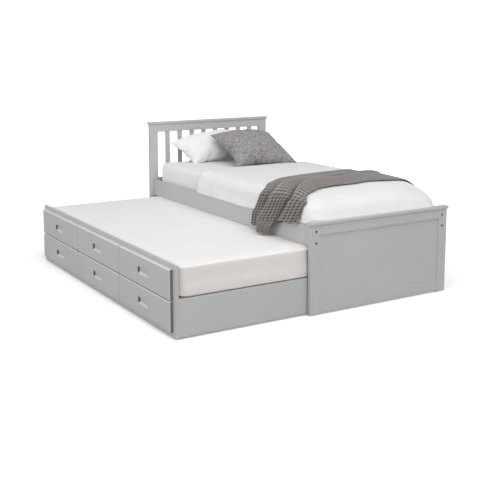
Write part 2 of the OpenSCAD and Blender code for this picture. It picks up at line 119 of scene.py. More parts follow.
def map_range(tree, value, from_low, from_high, low, high):
    made = add_node(tree, "MapRange", Value=value)
    # by number, because each of these names is on two sockets
    for index, number in zip((1, 2, 3, 4), (from_low, from_high, low, high)):
        made.inputs[index].default_value = number
    return made.outputs["Result"]


def split_rays(tree, lighting, seen, output):
    """Shows one shader to the camera, and lets the other one light the object."""
    path = add_node(tree, "LightPath")
    mix = add_node(tree, "MixShader", Fac=path.outputs["Is Camera Ray"])
    tree.links.new(lighting.outputs[0], mix.inputs[1])
    tree.links.new(seen.outputs[0], mix.inputs[2])
    add_node(tree, output, Surface=mix.outputs[0])


def make_world():
    world = bpy.data.worlds.new("studio")
    bpy.context.scene.world = world
    world.use_nodes = True
    tree = world.node_tree
    tree.nodes.clear()
    split_rays(tree, lighting=add_node(tree, "Background", Strength=0.52),
               seen=add_node(tree, "Background", Strength=1.4), output="OutputWorld")


def make_floor():
    """A pale floor, which glows where the camera sees it far from the bed, so that it runs out
    into the white world behind it."""
    size, below_feet = 30.0, 0.0005
    glow_start, glow_end, glow_near, glow_far = 1.6, 5.0, 0.2, 1.0
    line = (-size / 2, 0.0, size / 2)
    points = [(x, y, -below_feet) for x in line for y in line]
    corners = [(i * 3 + j, (i + 1) * 3 + j) for i in range(2) for j in range(2)]
    mesh = bpy.data.meshes.new("floor")
    mesh.from_pydata(points, [], [(a, b, b + 1, a + 1) for a, b in corners])
    floor = bpy.data.objects.new("floor", mesh)
    bpy.context.scene.collection.objects.link(floor)
    material = bpy.data.materials.new("studio_floor")
    material.use_nodes = True
    tree = material.node_tree
    tree.nodes.clear()
    place = add_node(tree, "TexCoord").outputs["Object"]
    distance = add_node(tree, "VectorMath")
    distance.operation = "LENGTH"
    tree.links.new(place, distance.inputs[0])
    strength = map_range(tree, distance.outputs["Value"], glow_start, glow_end, glow_near, glow_far)
    white = add_node(tree, "BsdfDiffuse", Color=(1.0, 1.0, 1.0, 1))
    glow = add_node(tree, "Emission", Strength=strength)
    seen = add_node(tree, "AddShader")
    tree.links.new(white.outputs[0], seen.inputs[0])
    tree.links.new(glow.outputs[0], seen.inputs[1])
    split_rays(tree, lighting=add_node(tree, "BsdfDiffuse", Color=(0.56, 0.56, 0.56, 1)),
               seen=seen, output="OutputMaterial")
    mesh.materials.append(material)


# ---------------------------------------------------------------- materials

# Colours are linear. A texture's scale is the shader node's own, on coordinates in metres.
FLAT = "flat"       # the attribute with a fabric piece's own flat coordinates
RIDGE = "ridge"     # the attribute with the height of the throw's knit, less the painted shade along its folds and sides


class Finish:
    """A node material with a Principled shader, and short ways to add its texture nodes."""

    def __init__(self, name, color, roughness, specular=0.5, metallic=0.0, sheen=0.0):
        self.material = bpy.data.materials.new(name)
        self.material.use_nodes = True
        self.tree = self.material.node_tree
        self.shader = self.tree.nodes["Principled BSDF"]
        self.set("Base Color", (*color, 1))
        self.set("Roughness", roughness)
        self.set("Specular IOR Level", specular)
        self.set("Metallic", metallic)
        if sheen:
            self.set("Sheen Weight", sheen)
            self.set("Sheen Roughness", 0.5)
        self.relief = None

    def set(self, socket, value):
        self.shader.inputs[socket].default_value = value

    def node(self, kind, **inputs):
        return add_node(self.tree, kind, **inputs)

    def attribute(self, name):
        made = self.node("Attribute")
        made.attribute_name = name
        return made

    def mapped(self, vector, scale, turn):
        return self.node("Mapping", Vector=vector, Scale=scale, Rotation=turn).outputs["Vector"]

    def place(self, scale=(1, 1, 1), turn=(0, 0, 0)):
        """Places in the row frame, in metres."""
        return self.mapped(self.node("TexCoord").outputs["Object"], scale, turn)

    def flat(self, scale=(1, 1, 1), turn=(0, 0, 0)):
        """Places in a fabric piece's own flat coordinates, in metres."""
        return self.mapped(self.attribute(FLAT).outputs["Vector"], scale, turn)

    def facing(self, normal):
        """A node whose X, Y and Z outputs say which way the surface is turned."""
        return self.node("SeparateXYZ", Vector=self.node("NewGeometry").outputs[normal])

    def noise(self, vector, scale, detail=2.0, roughness=0.5, distortion=0.0):
        made = self.node("TexNoise", Vector=vector, Scale=scale, Detail=detail,
                         Roughness=roughness, Distortion=distortion)
        return made.outputs["Fac"]

    def waves(self, vector, scale, direction, distortion=0.0):
        made = self.node("TexWave", Vector=vector, Scale=scale, Distortion=distortion)
        made.bands_direction = direction
        return made.outputs["Fac"]

    def spread(self, value, low, high, from_low=0.0, from_high=1.0):
        return map_range(self.tree, value, from_low, from_high, low, high)

    def ramp(self, value, start, end, most=1.0):
        """0 at start, most at end."""
        return self.spread(value, 0, most, start, end)

    def math(self, operation, a, b):
        made = self.node("Math")
        made.operation = operation
        self.tree.links.new(a, made.inputs[0])
        self.tree.links.new(b, made.inputs[1])
        return made.outputs["Value"]

    def blend(self, factor, first, second):
        """A mix of two colours, each a socket or three numbers."""
        made = self.node("Mix")
        made.data_type = "RGBA"
        self.tree.links.new(factor, made.inputs["Factor"])
        for socket, value in ((made.inputs[6], first), (made.inputs[7], second)):
            if isinstance(value, bpy.types.NodeSocket):
                self.tree.links.new(value, socket)
            else:
                socket.default_value = (*value, 1)
        return made.outputs[2]

    def color(self, socket):
        self.tree.links.new(socket, self.shader.inputs["Base Color"])

    def rough(self, socket):
        self.tree.links.new(socket, self.shader.inputs["Roughness"])

    def bump(self, socket, distance, strength=1.0):
        """Adds a layer of relief whose full height is distance, in metres."""
        made = self.node("Bump", Height=socket, Distance=distance, Strength=strength)
        if self.relief:
            self.tree.links.new(self.relief, made.inputs["Normal"])
        self.relief = made.outputs["Normal"]
        self.tree.links.new(self.relief, self.shader.inputs["Normal"])


def painted_wood(name, with_painted_light=False):
    """Satin grey paint. Given painted light, on a drawer front the faces turned to the foot get a dark
    band of painted shade, and the faces turned up get a paler painted highlight."""
    f = Finish(name, (0.44, 0.445, 0.445), 0.48, specular=0.35)
    place = f.place()
    tone = f.noise(place, 2.6, detail=4.0, roughness=0.6)
    paint = f.blend(f.ramp(tone, 0.3, 0.7), (0.432, 0.436, 0.436), (0.456, 0.459, 0.458))
    if with_painted_light:
        # painted shade on the faces turned to the foot, and a painted highlight on the faces turned up
        painted_end_shade, painted_top_highlight = (0.150, 0.152, 0.154), (0.64, 0.645, 0.64)
        facing = f.facing("True Normal")
        paint = f.blend(f.ramp(facing.outputs["Y"], -0.75, -0.95), paint, painted_end_shade)
        paint = f.blend(f.ramp(facing.outputs["Z"], 0.5, 0.7), paint, painted_top_highlight)
    f.color(paint)
    f.rough(f.spread(f.noise(place, 9.0, detail=3.0), 0.42, 0.54, 0.3, 0.7))
    f.bump(f.noise(place, 420.0), 0.00012)
    f.bump(f.noise(place, 14.0), 0.0006, 0.5)
    return f.material


def pine(name, along):
    """Planed pine whose grain runs along X or Y."""
    f = Finish(name, (0.60, 0.45, 0.28), 0.55, specular=0.35)

    def drawn_out(share):
        return f.place((share, 1, 1) if along == "X" else (1, share, 1))

    rings = f.noise(drawn_out(0.12), 22.0, detail=4.0, roughness=0.55, distortion=1.1)
    streaks = f.noise(drawn_out(0.03), 260.0, detail=3.0, roughness=0.7)
    knots = f.node("TexVoronoi", Vector=drawn_out(0.45), Scale=3.1).outputs["Distance"]
    wood = f.blend(f.ramp(rings, 0.32, 0.66), (0.66, 0.50, 0.31), (0.50, 0.33, 0.17))
    wood = f.blend(f.spread(knots, 1, 0, 0.03, 0.09), wood, (0.22, 0.11, 0.05))
    f.color(f.blend(f.ramp(streaks, 0.35, 0.75, most=0.35), wood, (0.38, 0.24, 0.12)))
    f.rough(f.spread(rings, 0.48, 0.66))
    f.bump(streaks, 0.0002)
    f.bump(rings, 0.0003, 0.6)
    return f.material


def hardboard():
    f = Finish("pressed_fibreboard", (0.27, 0.16, 0.085), 0.5, specular=0.4)
    fibres = f.noise(f.place((1, 0.25, 1), turn=(0, 0, 0.6)), 420.0, detail=4.0, roughness=0.7,
                     distortion=0.6)
    f.color(f.blend(f.ramp(fibres, 0.3, 0.7), (0.20, 0.115, 0.06), (0.36, 0.225, 0.125)))
    f.rough(f.spread(f.noise(f.place(), 30.0), 0.4, 0.6))
    f.bump(fibres, 0.00015)
    return f.material


def metal(name, color, roughness, metallic):
    f = Finish(name, color, roughness, metallic=metallic)
    place = f.place()
    f.rough(f.spread(f.noise(place, 140.0, detail=3.0), roughness - 0.08, roughness + 0.12))
    f.color(f.blend(f.noise(place, 60.0), color, tuple(c * 0.7 for c in color)))
    f.bump(f.noise(place, 900.0), 0.00005)
    return f.material


def moulded(name, color, roughness):
    f = Finish(name, color, roughness, specular=0.4)
    place = f.place()
    f.color(f.blend(f.noise(place, 45.0), color, tuple(c * 0.82 for c in color)))
    f.rough(f.spread(f.noise(place, 120.0), roughness - 0.05, roughness + 0.1))
    f.bump(f.noise(place, 700.0), 0.0001)
    return f.material


def cotton(name, bright, dull, painted_side_shade=None):
    """Plain woven cotton, whose weave follows the piece's own flat coordinates. The last argument,
    if given, is a darker colour painted on the upright sides as painted shade."""
    crease_height, weave_height, weave_scale = 0.0016, 0.000275, 454.5454545
    f = Finish(name, bright, 0.82, specular=0.25, sheen=0.12)
    place = f.flat()
    warp, weft = [f.waves(place, weave_scale, direction, 0.4) for direction in ("X", "Y")]
    slub = f.noise(f.flat((1, 14, 1)), 34.0, detail=3.0, roughness=0.6)
    cloud = f.noise(place, 5.0)
    cloth = f.blend(f.ramp(f.math("ADD", slub, cloud), 0.7, 1.3), dull, bright)
    # painted shade: the upright sides are darker than the top
    if painted_side_shade:
        cloth = f.blend(f.ramp(f.facing("Normal").outputs["Z"], 0.75, 0.35), cloth, painted_side_shade)
    f.color(cloth)
    f.rough(f.spread(slub, 0.76, 0.9))
    f.bump(f.noise(place, 16.0, detail=3.0, roughness=0.55, distortion=0.8), crease_height, 0.8)
    f.bump(f.math("MULTIPLY", warp, weft), weave_height, 0.6)
    return f.material


def marl():
    """Marled cushion weave: pale and dark slubs that run across the cushion, in ribs."""
    f = Finish("grey_marl_weave", (0.3, 0.275, 0.28), 0.88, specular=0.2, sheen=0.15)
    place = f.flat()
    long_slubs = f.noise(f.flat((1, 8.0, 1)), 30.0, detail=3.0, roughness=0.65, distortion=0.3)
    short_slubs = f.noise(f.flat((1, 3.5, 1), turn=(0, 0, 0.1)), 95.0, detail=3.0, roughness=0.7)
    dark, grey, pale = (0.112, 0.104, 0.108), (0.345, 0.325, 0.33), (0.50, 0.48, 0.485)
    yarn = f.blend(f.ramp(long_slubs, 0.41, 0.60), dark, grey)
    f.color(f.blend(f.ramp(short_slubs, 0.48, 0.68, most=0.9), yarn, pale))
    f.bump(f.noise(place, 24.0, detail=3.0, roughness=0.6), 0.002, 0.7)
    f.bump(f.waves(place, 95.0, "Y", 1.2), 0.0007)
    f.bump(short_slubs, 0.0008)
    return f.material


def knit():
    """Waffle knit. The stored height, less the painted shade along the folds and sides, paints shade
    into the pits, and fine strands cover the yarn.
    """
    f = Finish("taupe_waffle_knit", (0.3, 0.27, 0.25), 0.92, specular=0.15, sheen=0.2)
    heather = f.noise(f.flat((1, 2.2, 1)), 210.0, detail=3.0, roughness=0.7)
    tone = f.noise(f.flat(), 7.0)
    yarn = f.blend(f.ramp(heather, 0.3, 0.7), (0.27, 0.243, 0.228), (0.46, 0.425, 0.405))
    yarn = f.blend(f.ramp(tone, 0.3, 0.8, most=0.5), yarn, (0.25, 0.235, 0.225))
    height = f.ramp(f.attribute(RIDGE).outputs["Fac"], 0.1, 0.95)
    # painted shade: the pits and the lines of painted shade go dark
    f.color(f.blend(height, (0.085, 0.077, 0.072), yarn))
    f.bump(heather, 0.0012)
    f.bump(f.waves(f.flat(turn=(0, 0, 0.7)), 150.0, "X", 2.0), 0.0009)
    return f.material


def dress_frame():
    """Gives every CAD node that stays in view its finish."""
    paint = painted_wood("satin_grey_paint")
    # the drawer fronts' paint carries painted shade and a painted highlight
    front = painted_wood("satin_grey_front_painted_light", with_painted_light=True)
    across, lengthways = pine("pine_across", "X"), pine("pine_lengthways", "Y")
    board = hardboard()
    black = metal("black_oxide", (0.035, 0.035, 0.04), 0.38, 0.7)
    zinc = metal("zinc_plate", (0.55, 0.56, 0.58), 0.32, 1.0)
    nylon = moulded("white_nylon", (0.72, 0.72, 0.69), 0.45)
    wheel = moulded("castor_rubber", (0.03, 0.03, 0.033), 0.5)
    starts = {"frame_bolts": black, "barrel_nuts": zinc, "castor_screws": zinc,
              "floor_glides": nylon, "castor_wheel": wheel,
              "bed_slats": across, "trundle_slats": across, "drawer_runners": across,
              "drawer_sides": across, "drawer_back": lengthways, "drawer_bottom": board,
              "drawer_front": front, "false_front": front,
              "ledger": lengthways, "trundle_ledgers": lengthways}
    for name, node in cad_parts.items():
        finish = next((m for start, m in starts.items() if name.startswith(start)), paint)
        node.data.materials.clear()
        node.data.materials.append(finish)


# ---------------------------------------------------------------- mesh helpers

def new_piece(name, points, faces, flat=None):
    mesh = bpy.data.meshes.new(name)
    mesh.from_pydata(to_row(points).tolist(), [], faces)
    if flat is not None:
        store(mesh, FLAT, np.asarray(flat) * MM)
    mesh.validate()
    mesh.update()
    mesh.polygons.foreach_set("use_smooth", [True] * len(mesh.polygons))
    piece = bpy.data.objects.new(name, mesh)
    bpy.context.scene.collection.objects.link(piece)
    return piece


def store(mesh, name, values):
    values = np.asarray(values, np.float32)
    kind, field = ("FLOAT_VECTOR", "vector") if values.ndim == 2 else ("FLOAT", "value")
    attribute = mesh.attributes.new(name, kind, "POINT")
    attribute.data.foreach_set(field, values.ravel())


def finish_piece(piece, material, body):
    piece.data.materials.append(material)
    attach(piece, body)


def coords(piece):
    """The points of a piece, or of its evaluated form, in bed millimetres."""
    values = np.zeros(len(piece.data.vertices) * 3, np.float32)
    piece.data.vertices.foreach_get("co", values)
    return to_bed(values.reshape(-1, 3))


def set_coords(piece, points):
    piece.data.vertices.foreach_set("co", to_row(points).astype(np.float32).ravel())
    piece.data.update()


def evaluated(piece):
    return piece.evaluated_get(bpy.context.evaluated_depsgraph_get())


def apply_modifiers(piece):
    mesh = bpy.data.meshes.new_from_object(evaluated(piece))
    piece.modifiers.clear()
    old = piece.data
    piece.data = mesh
    bpy.data.meshes.remove(old)
    mesh.name = piece.name


def subdivide(piece):
    modifier = piece.modifiers.new("smooth", "SUBSURF")
    modifier.levels = modifier.render_levels = 1
    apply_modifiers(piece)


def pin(piece, cloth, pins):
    """Holds each point of a cloth by its weight in pins, from 0, free, to 1, fixed."""
    group = piece.vertex_groups.new(name="pins")
    for weight in np.unique(pins[pins > 0]):
        group.add(np.nonzero(pins == weight)[0].tolist(), float(weight), "REPLACE")
    cloth.vertex_group_mass = "pins"
    cloth.pin_stiffness = 1.0


def inflate(piece, pressure, frames, cap, stretch=20.0, bend=0.3, pins=None, grow=0.0):
    """Blows a fabric mesh up by cloth simulation. cap is the most a point may move, in mm, and
    grow is the share by which the cloth is larger than the mesh."""
    modifier = piece.modifiers.new("cloth", "CLOTH")
    cloth = modifier.settings
    cloth.quality = 6
    cloth.mass = 0.05
    cloth.tension_stiffness = cloth.compression_stiffness = stretch
    cloth.shear_stiffness = stretch / 2
    cloth.bending_stiffness = bend
    cloth.use_pressure = True
    cloth.uniform_pressure_force = pressure
    cloth.effector_weights.gravity = 0
    cloth.shrink_min = -grow
    modifier.collision_settings.use_collision = False
    modifier.point_cache.frame_start = 1
    modifier.point_cache.frame_end = frames
    if pins is not None:
        pin(piece, cloth, pins)
    before = coords(piece)
    for number in range(1, frames + 1):
        bpy.context.scene.frame_set(number)
    move = coords(evaluated(piece)) - before
    piece.modifiers.remove(modifier)
    bpy.context.scene.frame_set(1)
    length = np.linalg.norm(move, axis=1, keepdims=True) + 1e-9
    set_coords(piece, before + move / length * cap * np.tanh(length / cap))


def wander(points, scale, seed):
    """Smooth noise from -1 to 1 at points in mm, with features about scale mm across."""
    octaves = 3
    shift = Vector((seed * 13.7, seed * 7.1, seed * 3.3))
    return np.array([noise.fractal(Vector(p) / scale + shift, 1.0, 2.0, octaves)
                     for p in points])


def rising(x, low, high):
    """0 below low, 1 above high, and a smooth step between them."""
    t = np.clip((np.asarray(x, float) - low) / (high - low), 0, 1)
    return t * t * (3 - 2 * t)


def falling(x, low, high):
    """1 below low, 0 above high, and a smooth step between them."""
    return rising(-np.asarray(x, float), -high, -low)


def relax(points, faces, weight, rounds):
    """Moves points towards the mean of their neighbours, as far as weight lets each of them."""
    pairs = {tuple(sorted(pair)) for face in faces for pair in zip(face, face[1:] + face[:1])}
    a, b = np.array(sorted(pairs)).T
    count = np.bincount(a, minlength=len(points)) + np.bincount(b, minlength=len(points))
    points = np.array(points, float)
    for _ in range(rounds):
        total = np.zeros_like(points)
        np.add.at(total, a, points[b])
        np.add.at(total, b, points[a])
        points += (weight * 0.5)[:, None] * (total / count[:, None] - points)
    return points


class Welder:
    """Collects grids of points into one mesh and joins the points that coincide."""

    def __init__(self):
        self.index, self.points, self.faces, self.flat = {}, [], [], []

    def add(self, point, flat):
        key = tuple(int(round(c * 20)) for c in point)
        if key not in self.index:
            self.index[key] = len(self.points)
            self.points.append(tuple(point))
            self.flat.append(tuple(flat))
        return self.index[key]

    def grid(self, rows, flats, flip):
        ids = [[self.add(p, f) for p, f in zip(line, flat)] for line, flat in zip(rows, flats)]
        for a, b in zip(ids, ids[1:]):
            for k in range(len(a) - 1):
                face = (a[k], b[k], b[k + 1], a[k + 1])
                self.faces.append(tuple(reversed(face)) if flip else face)


def box_shell(low, high, cell, sides, tight=0.0):
    """Surface grids of a box, for the named sides: top, bottom, left, right, foot, head. tight is
    the width of one narrow cell beside each edge, which keeps that edge crisp."""
    shell = Welder()
    xs, ys, zs = [np.linspace(a, b, max(2, int(round((b - a) / cell))) + 1)
                  for a, b in zip(low, high)]
    if tight:
        xs, ys = [np.insert(v, (1, len(v) - 1), (v[0] + tight, v[-1] - tight)) for v in (xs, ys)]
        zs = np.insert(zs, 1, zs[0] + tight)
    for side, z, flip in (("top", high[2], False), ("bottom", low[2], True)):
        if side in sides:
            shell.grid([[(x, y, z) for y in ys] for x in xs],
                       [[(x, y, 0) for y in ys] for x in xs], flip)
    # the flat coordinates of an upright side go on from those of the top
    for side, x, out, flip in (("left", low[0], -1, False), ("right", high[0], 1, True)):
        if side in sides:
            shell.grid([[(x, y, z) for y in ys] for z in zs],
                       [[(x + out * (high[2] - z), y, 0) for y in ys] for z in zs], flip)
    for side, y, out, flip in (("foot", low[1], -1, True), ("head", high[1], 1, False)):
        if side in sides:
            shell.grid([[(x, y, z) for x in xs] for z in zs],
                       [[(x, y + out * (high[2] - z), 0) for x in xs] for z in zs], flip)
    return shell


def soften_box(points, low, high, corner, edge, bottom_edge=None, ends=("foot", "head")):
    """Rounds a box's upright corners with radius corner, and its long edges with radius edge.
    Points are on the box's surface. An end that isn't listed stays square."""
    tiny = 1e-6
    p = np.array(points, float)
    inner_low = low[:2] + corner
    inner_high = high[:2] - corner
    if "head" not in ends:
        inner_high[1] = high[1] + corner
    if "foot" not in ends:
        inner_low[1] = low[1] - corner
    inner = np.clip(p[:, :2], inner_low, inner_high)
    out = p[:, :2] - inner
    length = np.linalg.norm(out, axis=1)
    direction = out / np.maximum(length, 1e-9)[:, None]
    inward = corner - np.abs(out).max(axis=1)
    inset = np.maximum(inward, 0.0)
    result = p.copy()
    for level, sign, r in ((high[2], -1, edge), (low[2], 1, bottom_edge)):
        if not r:
            continue
        away = sign * (p[:, 2] - level)
        near = (away < r) & (inward < r) & (length > tiny)
        # a point on the flat face takes the half of the round beside it, and one on the upright
        # side takes the other half
        angle = np.where(away < tiny, math.pi / 4 * (1 - np.clip(inward / r, 0, 1)),
                         math.pi / 2 - math.pi / 4 * (1 - np.clip(away / r, 0, 1)))
        inset = np.where(near, r - r * np.sin(angle), inset)
        result[:, 2] = np.where(near, level + sign * (r - r * np.cos(angle)), result[:, 2])
    rounded = inner + direction * (corner - inset)[:, None]
    result[:, :2] = np.where((length > tiny)[:, None], rounded, p[:, :2])
    return result


# ---------------------------------------------------------------- mattresses

def make_mattress(name, node, body, cell, corner, edge, crown, seed, material, lifted=0.0,
                  sunk=0.0):
    """A mattress in its cover. corner and edge are radii, and crown is how far its top rises in
    the middle. lifted raises the bottom corner by the front board, sunk lowers the foot end."""
    low, high = bed_box(node)
    margin = 2.5
    low = low + (margin, margin, 0)
    high = high - (margin, margin, margin / 2)
    all_sides = ("top", "bottom", "left", "right", "foot", "head")
    shell = box_shell(low, high, cell, all_sides, tight=4.0)
    points = soften_box(shell.points, low, high, corner, edge, bottom_edge=1.4)
    middle, half = (low + high) / 2, (high - low) / 2
    q = (points - middle) / half
    dome = np.clip(1 - q[:, 0] ** 12, 0, 1) * np.clip(1 - q[:, 1] ** 8, 0, 1)
    points[:, 2] += np.where(points[:, 2] > middle[2], crown * dome, 0)
    piece = new_piece(name, points, shell.faces, shell.flat)
    on_base = (np.array(shell.points)[:, 2] < low[2] + 1).astype(float)
    inflate(piece, pressure=6.0, frames=14, cap=5.0, bend=1.5, pins=on_base, grow=0.006)
    points = coords(piece)
    x, y, z = points.T
    z += rising(z, low[2] + 5, low[2] + 60) * 1.6 * wander(points * (1, 0.5, 1), 150, seed)
    if sunk:
        # under the duvet the foot end slopes down, and more so at the right-hand corner
        toward_foot = 1 - rising(y, low[1], low[1] + 260)
        toward_right = rising(x, high[0] - 300, high[0] + 20)
        height = rising(z, low[2] + 30, high[2])
        z -= height * toward_foot * sunk * (1 + 1.7 * toward_right)
        y += height * toward_foot * sunk * 0.6
    if lifted:
        # the bottom corner by the front board doesn't reach down to the slats, and the mattress
        # stays low enough to pass under the side rail
        passing = 0.8
        out = np.hypot(np.maximum(low[0] + 50 - x, 0), np.maximum(low[1] + 40 - y, 0))
        z += lifted * rising(out, 20, 60) * (1 - rising(z, low[2], low[2] + 90))
        z[:] = np.minimum(z, bed_box("side_rail_left")[0][2] - passing)
    set_coords(piece, points)
    subdivide(piece)
    finish_piece(piece, material, body)
    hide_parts(node)


# ---------------------------------------------------------------- duvet

DUVET_SEAM = 9.0        # how thick the duvet is at its seams
HEM_LEVEL = 486         # the rail that its side hems stand on
SIDE_TOP = 560          # where its upright sides begin to turn into its top
HEAD_HEM = 1350


def shift_head_hem(points):
    """The duvet's head hem wanders: it is drawn back at its left corner, and beside that it
    reaches further up the bed."""
    x, y, z = points.T
    headward = rising(y, 1000, HEAD_HEM)
    on_side = falling(z, SIDE_TOP, 600)
    hem_line = np.interp(x, [60, 110, 180, 260, 330, 900], [-78, -30, 22, 43, 10, 0])
    ripple = 7 * np.sin(x / 47.0 + z / 31.0)
    y += headward * (hem_line * (1 - on_side) - 14 * on_side + ripple)


def fill_duvet(points, top, low, high):
    """The filling: fuller in the middle of the top, sloping off towards the foot end and more so
    at its right-hand corner, and wavy on the upright sides."""
    x, y, z = points.T
    half_width = 463
    q = (x - MIDDLE_X) / half_width
    puff = 5 * (1 - q ** 4) + 3.5 * wander(points * (1, 0.7, 1), 230, 5)
    z += top * puff * falling(y, HEAD_HEM - 100, HEAD_HEM - 10)
    toward_foot = 1 - rising(y, low[1] - 40, low[1] + 260)
    toward_right = rising(x, high[0] - 260, high[0] + 40)
    slope_start = 515
    height = np.clip((z - slope_start) / 105, 0, 1)
    z -= height * (20 * toward_foot + 46 * toward_right * toward_foot)
    wave = wander(points * (0.4, 1, 0.6), 120, 9)
    outward = np.sign(x - MIDDLE_X) * (1 - top) * (np.abs(y - low[1]) > 40)
    x += outward * (2.0 + 2.4 * wave) * rising(z, HEM_LEVEL, 520)


def thin_head_hem(points, top, square, high):
    """Close to its head hem the duvet is no thicker than its seam."""
    x, z = points[:, 0], points[:, 2]
    mattress_low, mattress_high = bed_box("mattress")
    to_hem = rising(high[1] - square[:, 1], 0, 45)
    seam_top = mattress_high[2] + DUVET_SEAM + 3
    z[:] = np.where(top > 0.5, seam_top + (z - seam_top) * to_hem, z)
    seam_side = np.where(x < MIDDLE_X, mattress_low[0] - DUVET_SEAM, mattress_high[0] + DUVET_SEAM)
    x[:] = np.where(top <= 0.5, seam_side + (x - seam_side) * np.maximum(to_hem, 0.25), x)


def tuck_foot_end(points, square, low):
    """The foot hem stands behind the cap, and above it the foot end leans out towards the cap."""
    y, z = points[:, 1], points[:, 2]
    foot_hem = square[:, 1] < low[1] + 1
    z += foot_hem * falling(square[:, 2], HEM_LEVEL, 620) * (FOOT_CAP_TOP - 1.5 - low[2])
    by_foot = 1 - rising(square[:, 1], low[1], low[1] + 160)
    y += by_foot * 15 * rising(z, FOOT_CAP_TOP, 600)
    y -= foot_hem * 6 * falling(z, FOOT_CAP_TOP, SIDE_TOP)


def hang_over_rail(points, square, low):
    """Along the left rail, from the throw to the head hem, the side hem hangs a little over its edge."""
    x, z = points[:, 0], points[:, 2]
    way = square[:, 1]
    over_rail = (square[:, 0] < low[0] + 1) * falling(square[:, 2], low[2], 530)
    over_rail = over_rail * rising(way, 560, 760)
    x -= over_rail * (6 + 1.5 * np.sin(way / 38.0))
    z -= over_rail * (5 + 1.2 * np.sin(way / 61.0 + 1.0))


def make_duvet(material):
    low, high = bed_box("duvet")
    low, high = low + (3, 3, 0), high - (3, 44, 2)
    shell = box_shell(low, high, 15.0, ("top", "left", "right", "foot"))
    square = np.array(shell.points)
    points = soften_box(square, low, high, corner=110, edge=60, ends=("foot",))
    shift_head_hem(points)
    top = rising(points[:, 2], SIDE_TOP, 620)
    fill_duvet(points, top, low, high)
    thin_head_hem(points, top, square, high)
    tuck_foot_end(points, square, low)
    hang_over_rail(points, square, low)
    loose = falling(points[:, 1], 180, 330) * rising(points[:, 2], FOOT_CAP_TOP, SIDE_TOP)
    points = relax(points, shell.faces, loose, rounds=12)
    piece = new_piece("duvet_cover", points, shell.faces, shell.flat)
    hem = (square[:, 2] < low[2] + 1) | (square[:, 1] > high[1] - 1)
    near_hem = (square[:, 2] < low[2] + 20) | (square[:, 1] > high[1] - 20)
    pins = np.where(hem, 1.0, np.where(near_hem, 0.4, 0.02))
    inflate(piece, pressure=5.0, frames=16, cap=7.0, bend=0.6, pins=pins, grow=0.012)
    subdivide(piece)
    thicken = piece.modifiers.new("thickness", "SOLIDIFY")
    thicken.thickness = DUVET_SEAM * MM
    thicken.offset = -1.0
    apply_modifiers(piece)
    finish_piece(piece, material, "bed_frame")
    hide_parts("duvet")
    return piece


# ---------------------------------------------------------------- pillow and cushion

def bag(width, height, cell):
    """Two flat layers of cloth that share their rim: the points and the faces."""
    columns, lines = int(round(width / cell)), int(round(height / cell))
    xs = np.linspace(-width / 2, width / 2, columns + 1)
    ys = np.linspace(-height / 2, height / 2, lines + 1)
    points, top, under = [], {}, {}
    for i, x in enumerate(xs):
        for j, y in enumerate(ys):
            rim = i in (0, columns) or j in (0, lines)
            top[i, j] = under[i, j] = len(points)
            points.append((x, y, 0.0 if rim else 2.0))
            if not rim:
                under[i, j] = len(points)
                points.append((x, y, -2.0))
    faces = []
    for i in range(columns):
        for j in range(lines):
            faces.append((top[i, j], top[i + 1, j], top[i + 1, j + 1], top[i, j + 1]))
            faces.append((under[i, j], under[i, j + 1], under[i + 1, j + 1], under[i + 1, j]))
    return np.array(points), faces


def stuffed(name, width, height, thickness, cell, seed):
    """A stuffed bag in its own plane, in mm about its centre: the points, the faces, and where
    the points lie in the flat bag."""
    points, faces = bag(width, height, cell)
    start = points.copy()
    rng = np.random.default_rng(seed)
    start[:, 2] += np.where(start[:, 2] != 0, rng.normal(0, 0.6, len(start)), 0)
    trial = new_piece(name + "_trial", start, faces)
    inflate(trial, pressure=6.0, frames=34, cap=400.0, stretch=25.0, bend=0.25)
    shaped = coords(trial)
    bpy.data.objects.remove(trial)
    size = shaped.max(0) - shaped.min(0)
    centre = (shaped.max(0) + shaped.min(0)) / 2
    shaped = (shaped - centre) * (width / size[0], height / size[1], thickness / size[2])
    return shaped, faces, points


def lay_between(shaped, width, height, corners, bow, lift):
    """Maps a stuffed bag onto the four-cornered patch with these corners: low left, low right,
    high left, high right. bow lifts the patch's middle along its normal, and lift raises the
    middle of its high side."""
    low_left, low_right, high_left, high_right = [np.array(c, float) for c in corners]
    u = (shaped[:, 0] / width + 0.5)[:, None]
    v = (shaped[:, 1] / height + 0.5)[:, None]
    flat = (low_left * (1 - u) + low_right * u) * (1 - v) + (high_left * (1 - u) + high_right * u) * v
    along = (low_right + high_right - low_left - high_left) / 2
    up = (high_left + high_right - low_left - low_right) / 2
    normal = np.cross(along, up)
    normal /= np.linalg.norm(normal)
    hump = np.sin(np.clip(u, 0, 1) * math.pi)
    rise = np.sin(np.clip(v, 0, 1) * math.pi)
    return (flat + normal * (shaped[:, 2:3] + bow * hump * rise)
            + np.array([0, 0, 1.0]) * lift * hump * v)


def make_pillow(material):
    width, height = 740.0, 470.0
    shaped, faces, flat = stuffed("pillow", width, height, thickness=155, cell=11.5, seed=3)
    corners = [(218, 1690, 606), (835, 1690, 606), (112, 1898, 744), (868, 1898, 748)]
    points = lay_between(shaped, width, height, corners, bow=14, lift=84)
    # flattened where it rests on the mattress and against the headboard
    mattress_top = bed_box("mattress")[1][2]
    rail_face = bed_box("head_top_rail")[0][1]
    y, z = points[:, 1], points[:, 2]
    z[:] = np.maximum(z, mattress_top + 1.5 + 0.12 * (z - mattress_top))
    y[:] = np.minimum(y, rail_face - 2 + 0.08 * (y - rail_face))
    piece = new_piece("sleeping_pillow", points, faces, flat)
    subdivide(piece)
    finish_piece(piece, material, "bed_frame")
    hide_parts("pillow")


